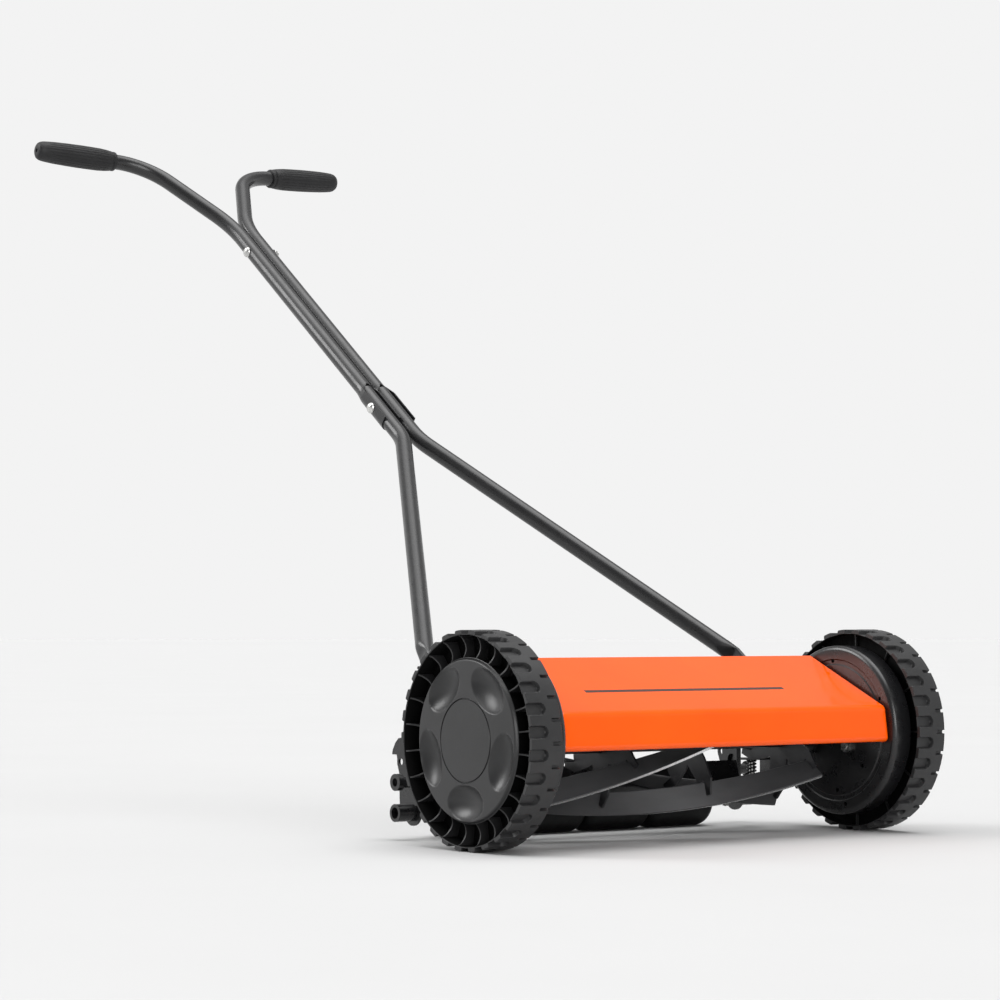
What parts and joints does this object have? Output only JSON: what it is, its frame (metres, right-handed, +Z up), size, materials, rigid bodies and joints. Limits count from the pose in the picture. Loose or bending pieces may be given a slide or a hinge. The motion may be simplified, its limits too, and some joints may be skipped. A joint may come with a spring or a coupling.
{
  "type": "reel mower",
  "caption": "Hand-pushed reel lawn mower: two geared wheels drive a helical reel past a bed knife, with a rear roller, a bent front cover and a tube handle with two grips.",
  "frame": {"origin": "middle of the whole machine's footprint, on the ground", "axes": "+Z up, -Y forwards, +X to the operator's left"},
  "size_m": [0.632, 1.268, 0.9573],
  "materials": {
    "black_paint": "semi-gloss black enamel",
    "orange_paint": "gloss orange enamel",
    "zinc": "bright zinc plate",
    "blade_steel": "dark heat-treated steel with ground cutting edges",
    "dark_steel": "dark satin steel",
    "wheel_plastic": "satin dark grey moulded plastic",
    "cap_plastic": "satin dark grey moulded plastic",
    "roller_plastic": "matt black moulded plastic",
    "grip_rubber": "fluted black rubber"
  },
  "bodies": {
    "chassis": {"side_plate_left": "black_paint", "side_plate_right": "black_paint", "rear_bracket_left": "black_paint", "rear_bracket_right": "black_paint", "front_cover": "orange_paint", "cover_screws": "zinc", "axle_stud_left": "zinc", "axle_stud_right": "zinc", "side_plate_bolts": "zinc", "tie_rod": "black_paint", "frame_nuts": "zinc", "reel_bearings": "dark_steel", "adjuster_screws": "zinc", "adjuster_springs": "dark_steel", "cutter_pivot_screws": "zinc", "handle_pivot_bolts": "zinc", "wheel_clips": "dark_steel"},
    "cutter_bar": {"cutter_bar": "black_paint", "bed_knife": "blade_steel", "bed_knife_screws": "zinc"},
    "roller_carriage": {"roller_bracket_left": "black_paint", "roller_bracket_right": "black_paint", "roller_axle": "zinc", "height_knob_left": "black_paint", "height_knob_right": "black_paint", "height_knob_nuts": "dark_steel"},
    "reel": {"reel_shaft": "dark_steel", "reel_spider_1": "dark_steel", "reel_spider_2": "dark_steel", "reel_spider_3": "dark_steel", "reel_spider_4": "dark_steel", "reel_blade_1": "blade_steel", "reel_blade_2": "blade_steel", "reel_blade_3": "blade_steel", "reel_blade_4": "blade_steel", "reel_blade_5": "blade_steel", "pinion_keys": "zinc", "pinion_clips": "dark_steel"},
    "pinion_left": {"pinion_left": "dark_steel"},
    "pinion_right": {"pinion_right": "dark_steel"},
    "wheel_left": {"wheel_left": "wheel_plastic", "hub_cap_left": "cap_plastic", "wheel_bush_left": "dark_steel"},
    "wheel_right": {"wheel_right": "wheel_plastic", "hub_cap_right": "cap_plastic", "wheel_bush_right": "dark_steel"},
    "handle": {"handle_lower_left": "black_paint", "handle_lower_right": "black_paint", "handle_upper_left": "black_paint", "handle_upper_right": "black_paint", "grip_left": "grip_rubber", "grip_right": "grip_rubber", "handle_bolts": "zinc", "handle_nuts": "zinc"},
    "roller_1": {"roller_section_1": "roller_plastic"},
    "roller_2": {"roller_section_2": "roller_plastic"},
    "roller_3": {"roller_section_3": "roller_plastic"},
    "roller_4": {"roller_section_4": "roller_plastic"}
  },
  "joints": [
    {"name": "wheel_left_spin", "type": "hinge", "parent": "chassis", "child": "wheel_left", "pos_m": [0.295, -0.51002, 0.124], "axis": [1, 0, 0], "continuous": true},
    {"name": "wheel_right_spin", "type": "hinge", "parent": "chassis", "child": "wheel_right", "pos_m": [-0.295, -0.51002, 0.124], "axis": [1, 0, 0], "continuous": true},
    {"name": "pinion_left_spin", "type": "hinge", "parent": "chassis", "child": "pinion_left", "pos_m": [0.265, -0.46527, 0.10963], "axis": [1, 0, 0], "continuous": true},
    {"name": "pinion_right_spin", "type": "hinge", "parent": "chassis", "child": "pinion_right", "pos_m": [-0.265, -0.46527, 0.10963], "axis": [1, 0, 0], "continuous": true},
    {"name": "reel_spin", "type": "hinge", "parent": "chassis", "child": "reel", "pos_m": [0, -0.46527, 0.10963], "axis": [1, 0, 0], "continuous": true},
    {"name": "cutter_bar_adjust", "type": "hinge", "parent": "chassis", "child": "cutter_bar", "pos_m": [0, -0.37802, 0.048], "axis": [1, 0, 0], "range_deg": [0, 2]},
    {"name": "roller_height", "type": "slide", "parent": "chassis", "child": "roller_carriage", "axis": [0, 0, 1], "range_m": [-0.013, 0.013]},
    {"name": "roller_1_spin", "type": "hinge", "parent": "roller_carriage", "child": "roller_1", "pos_m": [-0.1648, -0.32172, 0.0325], "axis": [1, 0, 0], "continuous": true},
    {"name": "roller_2_spin", "type": "hinge", "parent": "roller_carriage", "child": "roller_2", "pos_m": [-0.0622, -0.32172, 0.0325], "axis": [1, 0, 0], "continuous": true},
    {"name": "roller_3_spin", "type": "hinge", "parent": "roller_carriage", "child": "roller_3", "pos_m": [0.0404, -0.32172, 0.0325], "axis": [1, 0, 0], "continuous": true},
    {"name": "roller_4_spin", "type": "hinge", "parent": "roller_carriage", "child": "roller_4", "pos_m": [0.143, -0.32172, 0.0325], "axis": [1, 0, 0], "continuous": true},
    {"name": "handle_tilt", "type": "hinge", "parent": "chassis", "child": "handle", "pos_m": [0, -0.37442, 0.1833], "axis": [1, 0, 0], "range_deg": [0, 50]}
  ],
  "couplings": [
    {"joint": "pinion_left_spin", "follows": "wheel_left_spin", "ratio": 4.6154},
    {"joint": "reel_spin", "follows": "wheel_left_spin", "ratio": 4.6154},
    {"joint": "pinion_right_spin", "follows": "wheel_right_spin", "ratio": 4.6154}
  ]
}
